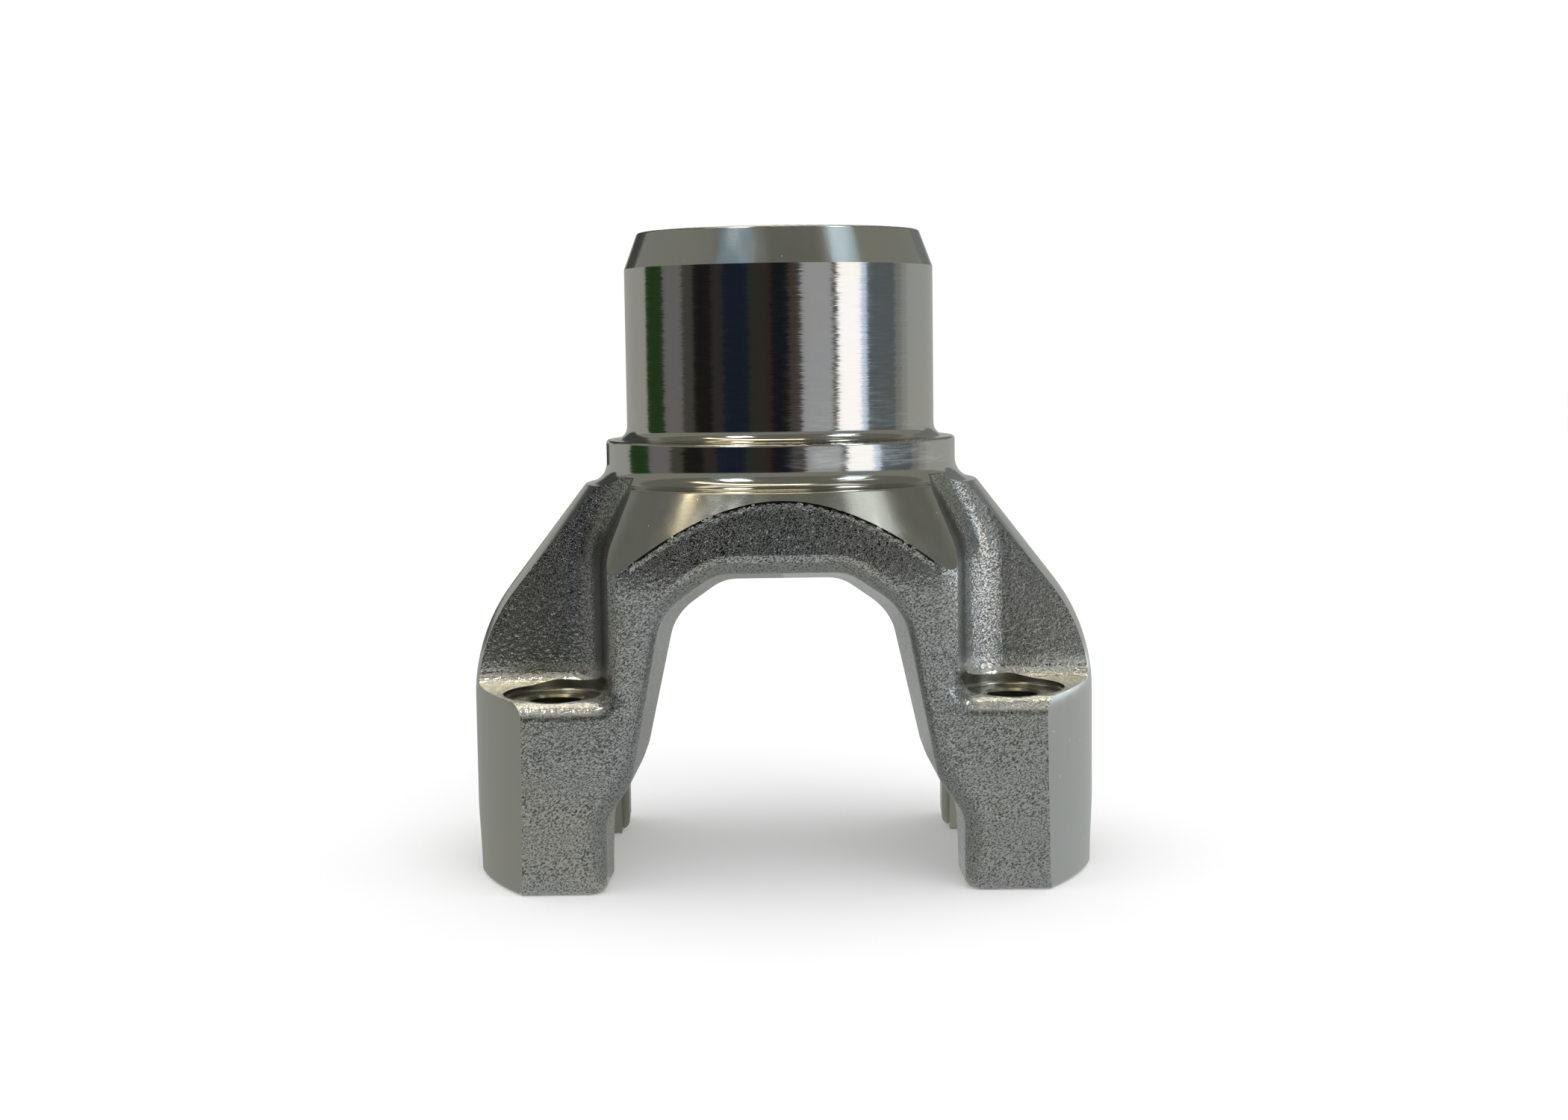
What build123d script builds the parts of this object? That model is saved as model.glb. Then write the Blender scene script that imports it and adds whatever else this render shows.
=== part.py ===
"""Weld yoke of a drive shaft: one steel forging, turned at its tube end, with two half-round ears.

The origin is the centre of the joint, where the axis of the shaft (+Z) crosses the axis of the
bearing seats (X). The four lobes of the ears end on the plane z = 0. Front and back are -Y and +Y.
All sizes are in millimetres.
"""
from build123d import *
import os
from math import radians, tan

# Tube end, turned
seat_dia = 82.1              # spigot that the shaft tube slides onto
seat_length = 44.9           # from the collar to the weld bevel
bevel_length = 9.5
bevel_depth = 3.6            # how far the bevel drops in radius
rim_round = 0.8
root_round = 3.4             # fillet between spigot and collar
end_recess_dia = 50.0        # dished recess in the end face
end_recess_depth = 12.0
end_recess_draft = 12.0      # degrees
end_recess_round = 6.0
centre_hole_dia = 8.0        # countersink that the lathe centre runs in
centre_hole_angle = 60.0
centre_drill_dia = 3.2
centre_drill_depth = 8.0

# Collar and shoulder, turned
collar_step = 5.6            # how far the collar stands out past the spigot
collar_z = 113.0             # top of the collar above the joint centre
collar_edge = 0.9
shoulder_step = 5.7          # how far the shoulder stands out past the collar
shoulder_z = 102.4           # at the foot of the collar
shoulder_fall = 1.0          # drop of the shoulder from there to its edge
shoulder_round = 5.4         # fillet between collar and shoulder
shoulder_edge_round = 1.4

# Outside of the ears, turned in the same setting
ear_dia = 165.6
cone_angle = 37.5            # between the cone and the shaft axis, degrees
cone_blend = 48.0            # radius from the cone into the ear cylinder
ear_end_round = 1.5
forge_stock = 4.0            # metal left outside everything that is turned

# Forged body seen from the side
ledge_half_depth = 50.5      # at the height of the bolt seats
lobe_fall = 1.2              # how much less it is at the lobe ends
rib_rise = 3.4               # how much more it is beside the hub
rib_z = 81.0                 # where the rib reaches its full depth
side_blend = 70.0

# Recessed webs between hub and ears
web_thickness = 40.8
ledge_z = 50.1               # top of the lobes beside the web
ledge_fall = 1.0             # drop of the ledge towards the front
rib_half_width = 43.1        # arch rib, measured at its front
rib_lean = 26.0              # the rib narrows towards the hub by this angle
rib_bend_z = 86.0
rib_bend_round = 22.0
rib_draft = 8.0
web_root_round = 11.0        # web into rib
ledge_root_round = 3.5       # web and rib into ledge
forged_edge_round = 4.6      # outer edges of rib and lobes

# Arch between the ears, measured on the parting plane y = 0
crown_z = 75.1
crown_half_width = 15.8
haunch_half_width = 29.1
haunch_z = 65.7
foot_half_width = 37.4
foot_z = 28.0
lobe_gap = 87.4              # clear width between the lobes
lobe_flare_z = 18.5
crown_round = 11.5
haunch_round = 16.0
foot_round = 9.0
crown_draft = 7.2            # rise of the crown away from the parting plane, degrees
leg_spread = 0.045           # widening of the arch at its front edge
flash_land = 5.0             # trimmed flash along the parting plane
arch_edge_round = 5.0
lobe_end_round = 2.6

# Half-round seats for the bearing cups, and their bolts
cup_dia = 49.2
lug_thickness = 5.4          # wall that is left outside the end of each cup
lug_height = 3.2             # lip that holds the cup endwise
seal_dia = 61.0              # clearance at the inner faces for the seals of the cross
seal_depth = 2.8
bolt_inset = 24.4            # bolt axis inside the outermost line of the ear
bolt_spacing_y = 69.2
bolt_hole_dia = 13.8
bolt_chamfer = 0.7
spotface_dia = 26.8
spotface_z = 48.2
spotface_round = 1.0         # left by the cutter between floor and wall

# Worked out from the sizes above
seat_radius = seat_dia / 2
collar_radius = seat_radius + collar_step
shoulder_radius = collar_radius + shoulder_step
ear_radius = ear_dia / 2
seat_top_z = collar_z + seat_length
top_z = seat_top_z + bevel_length
shoulder_edge_z = shoulder_z - shoulder_fall
cone_foot_z = shoulder_edge_z - (ear_radius - shoulder_radius) / tan(radians(cone_angle))
lobe_half_depth = ledge_half_depth - lobe_fall
rib_half_depth = ledge_half_depth + rib_rise
web_face = web_thickness / 2
cup_span = ear_dia - 2 * lug_thickness
seal_span = lobe_gap + 2 * seal_depth
bolt_spacing_x = ear_dia - 2 * bolt_inset
forge_radius = ear_radius + forge_stock
forge_half_depth = rib_half_depth + forge_stock
forge_top_z = collar_z - collar_edge - forge_stock
hub_foot_z = forge_top_z - forge_stock
face_limit = lobe_half_depth - ledge_root_round   # only edges of the front and back faces lie further out


def turned_envelope():
    """Solid of revolution that the lathe leaves: spigot, collar, shoulder, cone and ear cylinder."""
    corners = [
        (0, 0, 0),
        (ear_radius, 0, ear_end_round),
        (ear_radius, cone_foot_z, cone_blend),
        (shoulder_radius, shoulder_edge_z, shoulder_edge_round),
        (collar_radius, shoulder_z, shoulder_round),
        (collar_radius, collar_z, collar_edge),
        (seat_radius, collar_z, root_round),
        (seat_radius, seat_top_z, 0),
        (seat_radius - bevel_depth, top_z, rim_round),
        (0, top_z, 0),
    ]
    outline = FilletPolyline([(r, z) for r, z, _ in corners], radius=[c for _, _, c in corners], close=True)
    return revolve(Plane.XZ * make_face(outline), Axis.Z)


def forged_bar():
    """Bar of the forging with its front and back faces."""
    half = [
        (lobe_half_depth, 0, 0),
        (ledge_half_depth, ledge_z, side_blend),
        (rib_half_depth, rib_z, side_blend),
        (rib_half_depth, forge_top_z, 0),
    ]
    corners = half + [(-y, z, c) for y, z, c in reversed(half)]
    outline = FilletPolyline([(y, z) for y, z, _ in corners], radius=[c for _, _, c in corners], close=True)
    return extrude(Plane.YZ * make_face(outline), forge_radius, both=True)


def forged_hub():
    """Round hub that stands on the bar."""
    height = top_z + forge_stock - hub_foot_z
    hub = Cylinder(collar_radius + forge_stock, height, align=(Align.CENTER, Align.CENTER, Align.MIN))
    return Pos(0, 0, hub_foot_z) * hub


def web_pocket():
    """Cutter for the recess at the right front: drafted rib wall, web face and ledge."""
    far_x = forge_radius + forge_half_depth
    far_y = forge_half_depth + forge_stock
    high_z = top_z
    wall_x = rib_half_width + (rib_half_depth - web_face) * tan(radians(rib_draft))
    wall_top_x = wall_x - (high_z - rib_bend_z) * tan(radians(rib_lean))
    corners = [(wall_x, 0), (wall_x, rib_bend_z), (wall_top_x, high_z), (far_x, high_z), (far_x, 0)]
    outline = FilletPolyline([(-x, z) for x, z in corners], radius=[0, rib_bend_round, 0, 0, 0], close=True)
    web_plane = Plane((0, web_face, 0), x_dir=(-1, 0, 0), z_dir=(0, 1, 0))
    wall = extrude(web_plane * make_face(outline), far_y - web_face, taper=-rib_draft)
    floor = wall.faces().sort_by(Axis.Y)[0]
    root = [e for e in floor.edges() if e.center().X < wall_x + web_root_round and e.center().Z < high_z]
    wall = fillet(root, web_root_round)
    slope = ledge_fall / (rib_half_depth - web_face)
    ledge = Polyline((web_face, ledge_z), (far_y, ledge_z - slope * (far_y - web_face)),
                     (far_y, forge_top_z), (web_face, forge_top_z), close=True)
    recess = wall & extrude(Plane.YZ * make_face(ledge), far_x)
    base = recess.faces().sort_by(Axis.Z)[0]
    seam = [e for e in base.edges() if e.center().X < forge_radius and e.center().Y < forge_half_depth]
    return fillet(seam, ledge_root_round)


def arch_outline(y):
    """Outline of the arch opening at depth y: crown, haunches, legs and the gap between the lobes."""
    wide = 1 + leg_spread * y / rib_half_depth
    rise = y * tan(radians(crown_draft))
    half = [
        (crown_half_width * wide, crown_z + rise, crown_round),
        (haunch_half_width * wide, haunch_z + rise, haunch_round),
        (foot_half_width * wide, foot_z, foot_round),
        (lobe_gap / 2 * wide, lobe_flare_z, foot_round),
        (lobe_gap / 2 * wide, -forge_stock, 0),
    ]
    corners = [(-x, z, c) for x, z, c in reversed(half)] + half
    outline = FilletPolyline([(x, z) for x, z, _ in corners], radius=[c for _, _, c in corners], close=True)
    return Pos(0, y, 0) * (Plane.XZ * make_face(outline))


def arch_cutter():
    """Opening between the ears: drafted to front and back from the trimmed flash land."""
    land = extrude(arch_outline(0), flash_land / 2, both=True)
    flank = loft([arch_outline(0), arch_outline(forge_half_depth)], ruled=True)
    flank = Pos(0, flash_land / 2, 0) * flank
    return land + flank + mirror(flank, Plane.XZ)


def forging():
    """Blank as it leaves the dies, with its pockets, arch and rounded edges."""
    bar = forged_bar()
    pocket = web_pocket()
    pair = [pocket, mirror(pocket, Plane.YZ)]
    pockets = pair + [mirror(p, Plane.XZ) for p in pair]
    body = bar - pockets
    rim = [e for e in new_edges(bar, *pockets, combined=body)
           if abs(e.center().Y) > face_limit and abs(e.center().X) < ear_radius and e.center().Z < shoulder_z]
    body = fillet(rim, forged_edge_round)
    opening = arch_cutter()
    carved = body - opening
    mouth = [e for e in new_edges(body, opening, combined=carved)
             if abs(e.center().Y) > face_limit and e.center().Z > lobe_end_round]
    return fillet(mouth, arch_edge_round) + forged_hub()


def cup_seats():
    """Cutter for the half-round seats, with the clearance for the seals at the inner faces."""
    seat = Cylinder(cup_dia / 2, cup_span)
    seal = Cylinder(seal_dia / 2, seal_span)
    return Rot(0, 90, 0) * (seat + seal)


def lug_relief():
    """Cutter for the smaller half round through the lug at each end of the seats."""
    return Rot(0, 90, 0) * Cylinder(cup_dia / 2 - lug_height, 2 * forge_radius)


def bolt_cutters():
    """Drills for the four bolt holes, each with its chamfer and the spotface for the nut."""
    hole_radius = bolt_hole_dia / 2
    drill = Cylinder(hole_radius, spotface_z, align=(Align.CENTER, Align.CENTER, Align.MIN))
    chamfer_z = spotface_z - bolt_chamfer
    sink = Pos(0, 0, chamfer_z) * Cone(hole_radius, hole_radius + bolt_chamfer, bolt_chamfer,
                                       align=(Align.CENTER, Align.CENTER, Align.MIN))
    spotface = Pos(0, 0, spotface_z) * Cylinder(spotface_dia / 2, spotface_dia / 4,
                                                align=(Align.CENTER, Align.CENTER, Align.MIN))
    spotface = fillet(spotface.edges().sort_by(Axis.Z)[0], spotface_round)
    return [at * (drill + sink + spotface) for at in GridLocations(bolt_spacing_x, bolt_spacing_y, 2, 2)]


def end_recess():
    """Cutter for the dished recess in the end face and the centre hole in its floor."""
    floor_radius = end_recess_dia / 2 - end_recess_depth * tan(radians(end_recess_draft))
    floor_z = top_z - end_recess_depth
    drill_radius = centre_drill_dia / 2
    sink_depth = (centre_hole_dia / 2 - drill_radius) / tan(radians(centre_hole_angle / 2))
    corners = [
        (0, floor_z - centre_drill_depth, 0),
        (drill_radius, floor_z - centre_drill_depth, 0),
        (drill_radius, floor_z - sink_depth, 0),
        (centre_hole_dia / 2, floor_z, 0),
        (floor_radius, floor_z, end_recess_round),
        (end_recess_dia / 2, top_z, 0),
        (0, top_z, 0),
    ]
    outline = FilletPolyline([(r, z) for r, z, _ in corners], radius=[c for _, _, c in corners], close=True)
    return revolve(Plane.XZ * make_face(outline), Axis.Z)


def yoke():
    """Finished yoke: the forging with its seats bored and lobe ends dressed, turned and drilled."""
    blank = forging() - cup_seats()
    ends = [e for e in blank.edges() if e.center().Z < lobe_end_round
            and abs(e.center().Y) > seal_dia / 2 + lobe_end_round and abs(e.center().X) < ear_radius]
    turned = fillet(ends, lobe_end_round) & turned_envelope()
    return turned - lug_relief() - bolt_cutters() - end_recess()


if __name__ == "__main__":
    os.makedirs("parts", exist_ok=True)
    export_step(yoke(), "parts/yoke.step")
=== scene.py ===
from math import cos, pi, radians, sin, tan

import bpy
import numpy as np
from mathutils import Matrix, Vector


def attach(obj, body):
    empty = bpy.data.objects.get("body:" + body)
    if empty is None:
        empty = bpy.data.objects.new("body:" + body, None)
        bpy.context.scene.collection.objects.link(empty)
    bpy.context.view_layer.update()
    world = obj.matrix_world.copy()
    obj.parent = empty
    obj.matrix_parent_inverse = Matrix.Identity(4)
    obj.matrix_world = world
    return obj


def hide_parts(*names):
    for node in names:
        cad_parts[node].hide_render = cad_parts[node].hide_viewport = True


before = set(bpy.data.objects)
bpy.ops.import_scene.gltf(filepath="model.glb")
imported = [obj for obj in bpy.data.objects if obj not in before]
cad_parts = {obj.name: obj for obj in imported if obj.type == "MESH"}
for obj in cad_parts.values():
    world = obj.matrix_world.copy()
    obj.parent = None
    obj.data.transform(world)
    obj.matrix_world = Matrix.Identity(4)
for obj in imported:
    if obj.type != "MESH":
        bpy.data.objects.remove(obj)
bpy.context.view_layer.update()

# ---------------------------------------------------------------- yoke body
# One steel forging, blasted, then turned round its axis, bored and drilled, and zinc plated all over.
# The skin is the solid's own mesh: each triangle gets the finish of the tool that made it.
mm = 0.001
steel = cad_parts["yoke"]
skin = steel.data.copy()
skin.name = "yoke_skin"
yoke = bpy.data.objects.new("yoke_skin", skin)
bpy.context.scene.collection.objects.link(yoke)

turned_corners = [                      # radius, height, corner round: the outline that the lathe leaves
    (0, 0, 0), (82.8, 0, 1.5), (82.8, 61.717, 48), (52.35, 101.4, 1.4), (46.65, 102.4, 5.4),
    (46.65, 113, 0.9), (41.05, 113, 3.4), (41.05, 157.9, 0), (37.45, 167.4, 0.8), (0, 167.4, 0)]
bevel_z = 157.9 * mm
shoulder_edge_z = 101.4 * mm
shoulder_drop = 1.9 * mm                # how far the shoulder's own round reaches below its edge
outline_slack = 0.012 * mm              # how far a mesh corner may lie off the turned outline
slack = 0.02 * mm                       # and off a bore, a round's end or an end face
same_way = 0.9                          # least cosine between a triangle and the outline beside it
shortest = 1e-6


def turned_outline(corners):
    """Lines and arcs of the outline, each with its outward normal, from corners with their rounds."""
    pieces = []
    last = np.array(corners[0][:2]) * mm
    for before, here, after in zip(corners, corners[1:], corners[2:]):
        p0, p1, p2 = (np.array(c[:2]) * mm for c in (before, here, after))
        u, v = (p0 - p1) / np.linalg.norm(p0 - p1), (p2 - p1) / np.linalg.norm(p2 - p1)
        half = np.arccos(np.clip(u @ v, -1, 1)) / 2
        reach = here[2] * mm / tan(half)
        start, end = p1 + u * reach, p1 + v * reach
        run = start - last
        if np.linalg.norm(run) > shortest:
            pieces.append(("line", last, start, np.array([run[1], -run[0]]) / np.linalg.norm(run)))
        if here[2]:
            middle = p1 + (u + v) / np.linalg.norm(u + v) * here[2] * mm / sin(half)
            out = np.array([run[1], -run[0]]) / np.linalg.norm(run)
            side = 1.0 if (start - middle) @ out > 0 else -1.0
            pieces.append(("arc", middle, here[2] * mm, side, start, end))
        last = end
    run = np.array(corners[-1][:2]) * mm - last
    pieces.append(("line", last, last + run, np.array([run[1], -run[0]]) / np.linalg.norm(run)))
    return pieces


def off_piece(piece, r, z):
    """Distance of points (r, z) from one piece of the outline."""
    p = np.stack([r, z], axis=-1)
    if piece[0] == "line":
        a, b = piece[1], piece[2]
        t = np.clip(((p - a) @ (b - a)) / ((b - a) @ (b - a)), 0, 1)
        return np.linalg.norm(p - a - t[..., None] * (b - a), axis=-1)
    middle, radius, start, end = piece[1], piece[2], piece[4], piece[5]
    d = p - middle
    along = (start + end) / 2 - middle
    inside = d @ along >= along @ along - slack * np.linalg.norm(along)
    gap = np.abs(np.linalg.norm(d, axis=-1) - radius)
    ends = np.minimum(np.linalg.norm(p - start, axis=-1), np.linalg.norm(p - end, axis=-1))
    return np.where(inside, gap, ends)


def piece_normal(piece, r, z):
    """Outward normal (radial, axial) of one piece of the outline at points (r, z)."""
    if piece[0] == "line":
        return np.broadcast_to(piece[3], r.shape + (2,))
    d = np.stack([r, z], axis=-1) - piece[1]
    return piece[3] * d / np.linalg.norm(d, axis=-1)[..., None]


points = np.empty(len(skin.vertices) * 3, dtype=np.float32)
skin.vertices.foreach_get("co", points)
points = points.reshape(-1, 3).astype(float)
corner_point = np.empty(len(skin.loops), dtype=np.int32)
skin.loops.foreach_get("vertex_index", corner_point)
tri = corner_point.reshape(-1, 3)
tri_points = points[tri]
tri_r = np.hypot(tri_points[..., 0], tri_points[..., 1])
tri_z = tri_points[..., 2]
corner_normal = np.empty(len(skin.loops) * 3, dtype=np.float32)
skin.corner_normals.foreach_get("vector", corner_normal)
corner_normal = corner_normal.reshape(-1, 3, 3).astype(float)

tri_normal = np.cross(tri_points[:, 1] - tri_points[:, 0], tri_points[:, 2] - tri_points[:, 0])
tri_normal /= np.linalg.norm(tri_normal, axis=-1)[:, None]
outline = turned_outline(turned_corners)
off = np.stack([off_piece(piece, tri_r, tri_z).max(axis=1) for piece in outline], axis=1)
nearest = off.argmin(axis=1)
turned = (off.min(axis=1) < outline_slack) & (tri_z.max(axis=1) > slack)
for index, piece in enumerate(outline):
    chosen = np.flatnonzero(turned & (nearest == index))
    normal = piece_normal(piece, tri_r[chosen], tri_z[chosen])
    r = np.maximum(tri_r[chosen], shortest)[..., None]
    flat = tri_points[chosen][..., :2] / r
    exact = np.concatenate([flat * normal[..., :1], normal[..., 1:]], axis=-1)
    agrees = (exact * tri_normal[chosen, None]).sum(axis=-1).min(axis=1) > same_way
    agrees |= tri_z[chosen].min(axis=1) > shoulder_edge_z - shoulder_drop
    corner_normal[chosen[agrees]] = exact[agrees]
    turned[chosen[~agrees]] = False
skin.normals_split_custom_set(corner_normal.reshape(-1, 3).astype(np.float32))

bolt_x, bolt_y, spotface_r, nut_top = 58.4 * mm, 34.6 * mm, 13.4 * mm, 55 * mm
seal_r, arch_half_width, recess_r, recess_foot = 30.5 * mm, 43.6 * mm, 25 * mm, 150 * mm
from_bolt = np.hypot(np.abs(tri_points[..., 0]) - bolt_x, np.abs(tri_points[..., 1]) - bolt_y)
drilled = (from_bolt.max(axis=1) < spotface_r + slack) & (tri_z.max(axis=1) < nut_top)
from_x_axis = np.hypot(tri_points[..., 1], tri_points[..., 2])
in_arch = np.abs(tri_points[..., 0]).min(axis=1) < arch_half_width
bored = (from_x_axis.max(axis=1) < seal_r + slack) & ~turned & ~in_arch
recess = (tri_r.max(axis=1) < recess_r + slack) & (tri_z.min(axis=1) > recess_foot)
lobe_end = tri_z.max(axis=1) < slack
bright = (turned & (tri_z.min(axis=1) > shoulder_edge_z - 5 * slack)
          & (tri_z.max(axis=1) < bevel_z + slack / 2))

finishes = ["blasted_forging", "turned_bright", "turned_satin", "bored_steel_and_shade"]
finish = np.full(len(skin.polygons), finishes.index("blasted_forging"), dtype=np.int32)
finish[turned | recess | lobe_end] = finishes.index("turned_satin")
finish[bright] = finishes.index("turned_bright")
finish[(bored | drilled) & ~turned] = finishes.index("bored_steel_and_shade")
skin.materials.clear()
for name in finishes:
    made = bpy.data.materials.new(name)
    made.use_nodes = True
    skin.materials.append(made)
skin.polygons.foreach_set("material_index", finish)
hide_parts("yoke")
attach(yoke, "root")


def add(tree, kind, x, y, **values):
    """Node of a kind at a place in the tree, with its settings."""
    node = tree.nodes.new(kind)
    node.location = (x, y)
    for key, value in values.items():
        setattr(node, key, value)
    return node


def socket(tree, name, kind, way, value=None):
    """Named input or output of a node group."""
    made = tree.interface.new_socket(name=name, in_out=way, socket_type=kind)
    if value is not None:
        made.default_value = value


# Zinc tint: bright zinc keeps a faint cast of its bath, olive here and bluish there, over centimetres.
# Every finish of the yoke has it under its own marks.
zinc = bpy.data.node_groups.new("zinc_tint", "ShaderNodeTree")
socket(zinc, "Base", "NodeSocketColor", "INPUT", (0.6, 0.6, 0.56, 1))
socket(zinc, "Amount", "NodeSocketFloat", "INPUT", 0.5)
socket(zinc, "Color", "NodeSocketColor", "OUTPUT")
given = add(zinc, "NodeGroupInput", -900, 0)
out = add(zinc, "NodeGroupOutput", 500, 0)
place = add(zinc, "ShaderNodeTexCoord", -900, -300)
cloud = add(zinc, "ShaderNodeTexNoise", -650, -250)
cloud.inputs["Scale"].default_value = 38
cloud.inputs["Detail"].default_value = 4
hue = add(zinc, "ShaderNodeValToRGB", -420, -250)
hue.color_ramp.elements[0].position = 0.36
hue.color_ramp.elements[0].color = (0.96, 0.95, 0.86, 1)
hue.color_ramp.elements[1].position = 0.66
hue.color_ramp.elements[1].color = (0.93, 0.97, 1.04, 1)
tinted = add(zinc, "ShaderNodeMix", 150, 0, data_type="RGBA", blend_type="MULTIPLY")
zinc.links.new(place.outputs["Object"], cloud.inputs["Vector"])
zinc.links.new(cloud.outputs["Fac"], hue.inputs["Fac"])
zinc.links.new(given.outputs["Amount"], tinted.inputs["Factor"])
zinc.links.new(given.outputs["Base"], tinted.inputs["A"])
zinc.links.new(hue.outputs["Color"], tinted.inputs["B"])
zinc.links.new(tinted.outputs["Result"], out.inputs["Color"])

# Lathe marks: fine rings round the shaft axis that wander a little, so that reflections fray along
# their edges. Turned surfaces only.
lathe = bpy.data.node_groups.new("lathe_marks", "ShaderNodeTree")
socket(lathe, "Rings per m", "NodeSocketFloat", "INPUT", 2600.0)
socket(lathe, "Depth", "NodeSocketFloat", "INPUT", 0.00001)
socket(lathe, "Chatter", "NodeSocketFloat", "INPUT", 0.02)
socket(lathe, "Normal", "NodeSocketVector", "OUTPUT")
socket(lathe, "Rings", "NodeSocketFloat", "OUTPUT")
given = add(lathe, "NodeGroupInput", -1100, 0)
out = add(lathe, "NodeGroupOutput", 800, 0)
place = add(lathe, "ShaderNodeTexCoord", -1100, -250)
apart = add(lathe, "ShaderNodeSeparateXYZ", -900, -250)
up = add(lathe, "ShaderNodeMath", -700, -350, operation="MULTIPLY")
across = add(lathe, "ShaderNodeVectorMath", -700, -150, operation="SCALE")
across.inputs["Scale"].default_value = 170
joined = add(lathe, "ShaderNodeCombineXYZ", -300, -250)
split = add(lathe, "ShaderNodeSeparateXYZ", -500, -150)
rings = add(lathe, "ShaderNodeTexNoise", -100, -250)
rings.inputs["Scale"].default_value = 1
rings.inputs["Detail"].default_value = 3
rings.inputs["Roughness"].default_value = 0.6
cut = add(lathe, "ShaderNodeBump", 300, -150)
cut.inputs["Strength"].default_value = 1
lathe.links.new(place.outputs["Object"], apart.inputs["Vector"])
lathe.links.new(place.outputs["Object"], across.inputs[0])
lathe.links.new(apart.outputs["Z"], up.inputs[0])
lathe.links.new(given.outputs["Rings per m"], up.inputs[1])
lathe.links.new(across.outputs[0], split.inputs["Vector"])
lathe.links.new(split.outputs["X"], joined.inputs["X"])
lathe.links.new(split.outputs["Y"], joined.inputs["Y"])
lathe.links.new(up.outputs[0], joined.inputs["Z"])
lathe.links.new(joined.outputs[0], rings.inputs["Vector"])
lathe.links.new(rings.outputs["Fac"], cut.inputs["Height"])
lathe.links.new(given.outputs["Depth"], cut.inputs["Distance"])
hum = add(lathe, "ShaderNodeVectorMath", -500, -600, operation="MULTIPLY")
hum.inputs[1].default_value = (90, 90, 5200)
shiver = add(lathe, "ShaderNodeTexNoise", -300, -600)
shiver.inputs["Scale"].default_value = 1
shiver.inputs["Detail"].default_value = 4
shiver.inputs["Roughness"].default_value = 0.65
even = add(lathe, "ShaderNodeMath", -100, -600, operation="SUBTRACT")
even.inputs[1].default_value = 0.5
swing = add(lathe, "ShaderNodeMath", 100, -600, operation="MULTIPLY")
along = add(lathe, "ShaderNodeVectorMath", 100, -400, operation="CROSS_PRODUCT")
along.inputs[0].default_value = (0, 0, 1)
slight = add(lathe, "ShaderNodeVectorMath", 300, -450, operation="SCALE")
leant = add(lathe, "ShaderNodeVectorMath", 450, -250, operation="ADD")
unit = add(lathe, "ShaderNodeVectorMath", 600, -250, operation="NORMALIZE")
lathe.links.new(place.outputs["Object"], hum.inputs[0])
lathe.links.new(hum.outputs[0], shiver.inputs["Vector"])
lathe.links.new(shiver.outputs["Fac"], even.inputs[0])
lathe.links.new(even.outputs[0], swing.inputs[0])
lathe.links.new(given.outputs["Chatter"], swing.inputs[1])
lathe.links.new(cut.outputs["Normal"], along.inputs[1])
lathe.links.new(along.outputs[0], slight.inputs[0])
lathe.links.new(swing.outputs[0], slight.inputs["Scale"])
lathe.links.new(cut.outputs["Normal"], leant.inputs[0])
lathe.links.new(slight.outputs[0], leant.inputs[1])
lathe.links.new(leant.outputs[0], unit.inputs[0])
lathe.links.new(unit.outputs[0], out.inputs["Normal"])
lathe.links.new(rings.outputs["Fac"], out.inputs["Rings"])

# Handling scratches: short straight lines in two directions and wiped streaks, from bins and pallets.
# Turned outside surfaces only.
scratched = bpy.data.node_groups.new("handling_scratches", "ShaderNodeTree")
socket(scratched, "Lines per m", "NodeSocketFloat", "INPUT", 220.0)
socket(scratched, "Width", "NodeSocketFloat", "INPUT", 0.02)
socket(scratched, "Lines", "NodeSocketFloat", "OUTPUT")
socket(scratched, "Streaks", "NodeSocketFloat", "OUTPUT")
given = add(scratched, "NodeGroupInput", -1300, 0)
out = add(scratched, "NodeGroupOutput", 900, 0)
place = add(scratched, "ShaderNodeTexCoord", -1300, -250)
sets = []
for number, (lean, swing, drawn) in enumerate(((14, 20, 0.07), (-62, 75, 0.12))):
    y = -250 - 500 * number
    leant = add(scratched, "ShaderNodeVectorRotate", -1100, y, rotation_type="EULER_XYZ")
    leant.inputs["Rotation"].default_value = (radians(lean), radians(swing / 2), radians(swing))
    long = add(scratched, "ShaderNodeVectorMath", -900, y, operation="MULTIPLY")
    long.inputs[1].default_value = (1, 1, drawn)
    cells = add(scratched, "ShaderNodeTexVoronoi", -700, y, feature="F1")
    line = add(scratched, "ShaderNodeMath", -450, y, operation="LESS_THAN")
    lot = add(scratched, "ShaderNodeSeparateXYZ", -450, y - 200)
    rare = add(scratched, "ShaderNodeMath", -250, y - 200, operation="GREATER_THAN")
    rare.inputs[1].default_value = 0.2
    both = add(scratched, "ShaderNodeMath", -50, y, operation="MULTIPLY")
    scratched.links.new(place.outputs["Object"], leant.inputs["Vector"])
    scratched.links.new(leant.outputs["Vector"], long.inputs[0])
    scratched.links.new(long.outputs[0], cells.inputs["Vector"])
    scratched.links.new(given.outputs["Lines per m"], cells.inputs["Scale"])
    scratched.links.new(cells.outputs["Distance"], line.inputs[0])
    scratched.links.new(given.outputs["Width"], line.inputs[1])
    scratched.links.new(cells.outputs["Color"], lot.inputs["Vector"])
    scratched.links.new(lot.outputs["X"], rare.inputs[0])
    scratched.links.new(line.outputs[0], both.inputs[0])
    scratched.links.new(rare.outputs[0], both.inputs[1])
    sets.append(both)
lines = add(scratched, "ShaderNodeMath", 300, -250, operation="MAXIMUM")
tall = add(scratched, "ShaderNodeVectorMath", -900, 250, operation="MULTIPLY")
tall.inputs[1].default_value = (1, 1, 0.09)
wiped = add(scratched, "ShaderNodeTexNoise", -700, 250)
wiped.inputs["Scale"].default_value = 260
wiped.inputs["Detail"].default_value = 3
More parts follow.
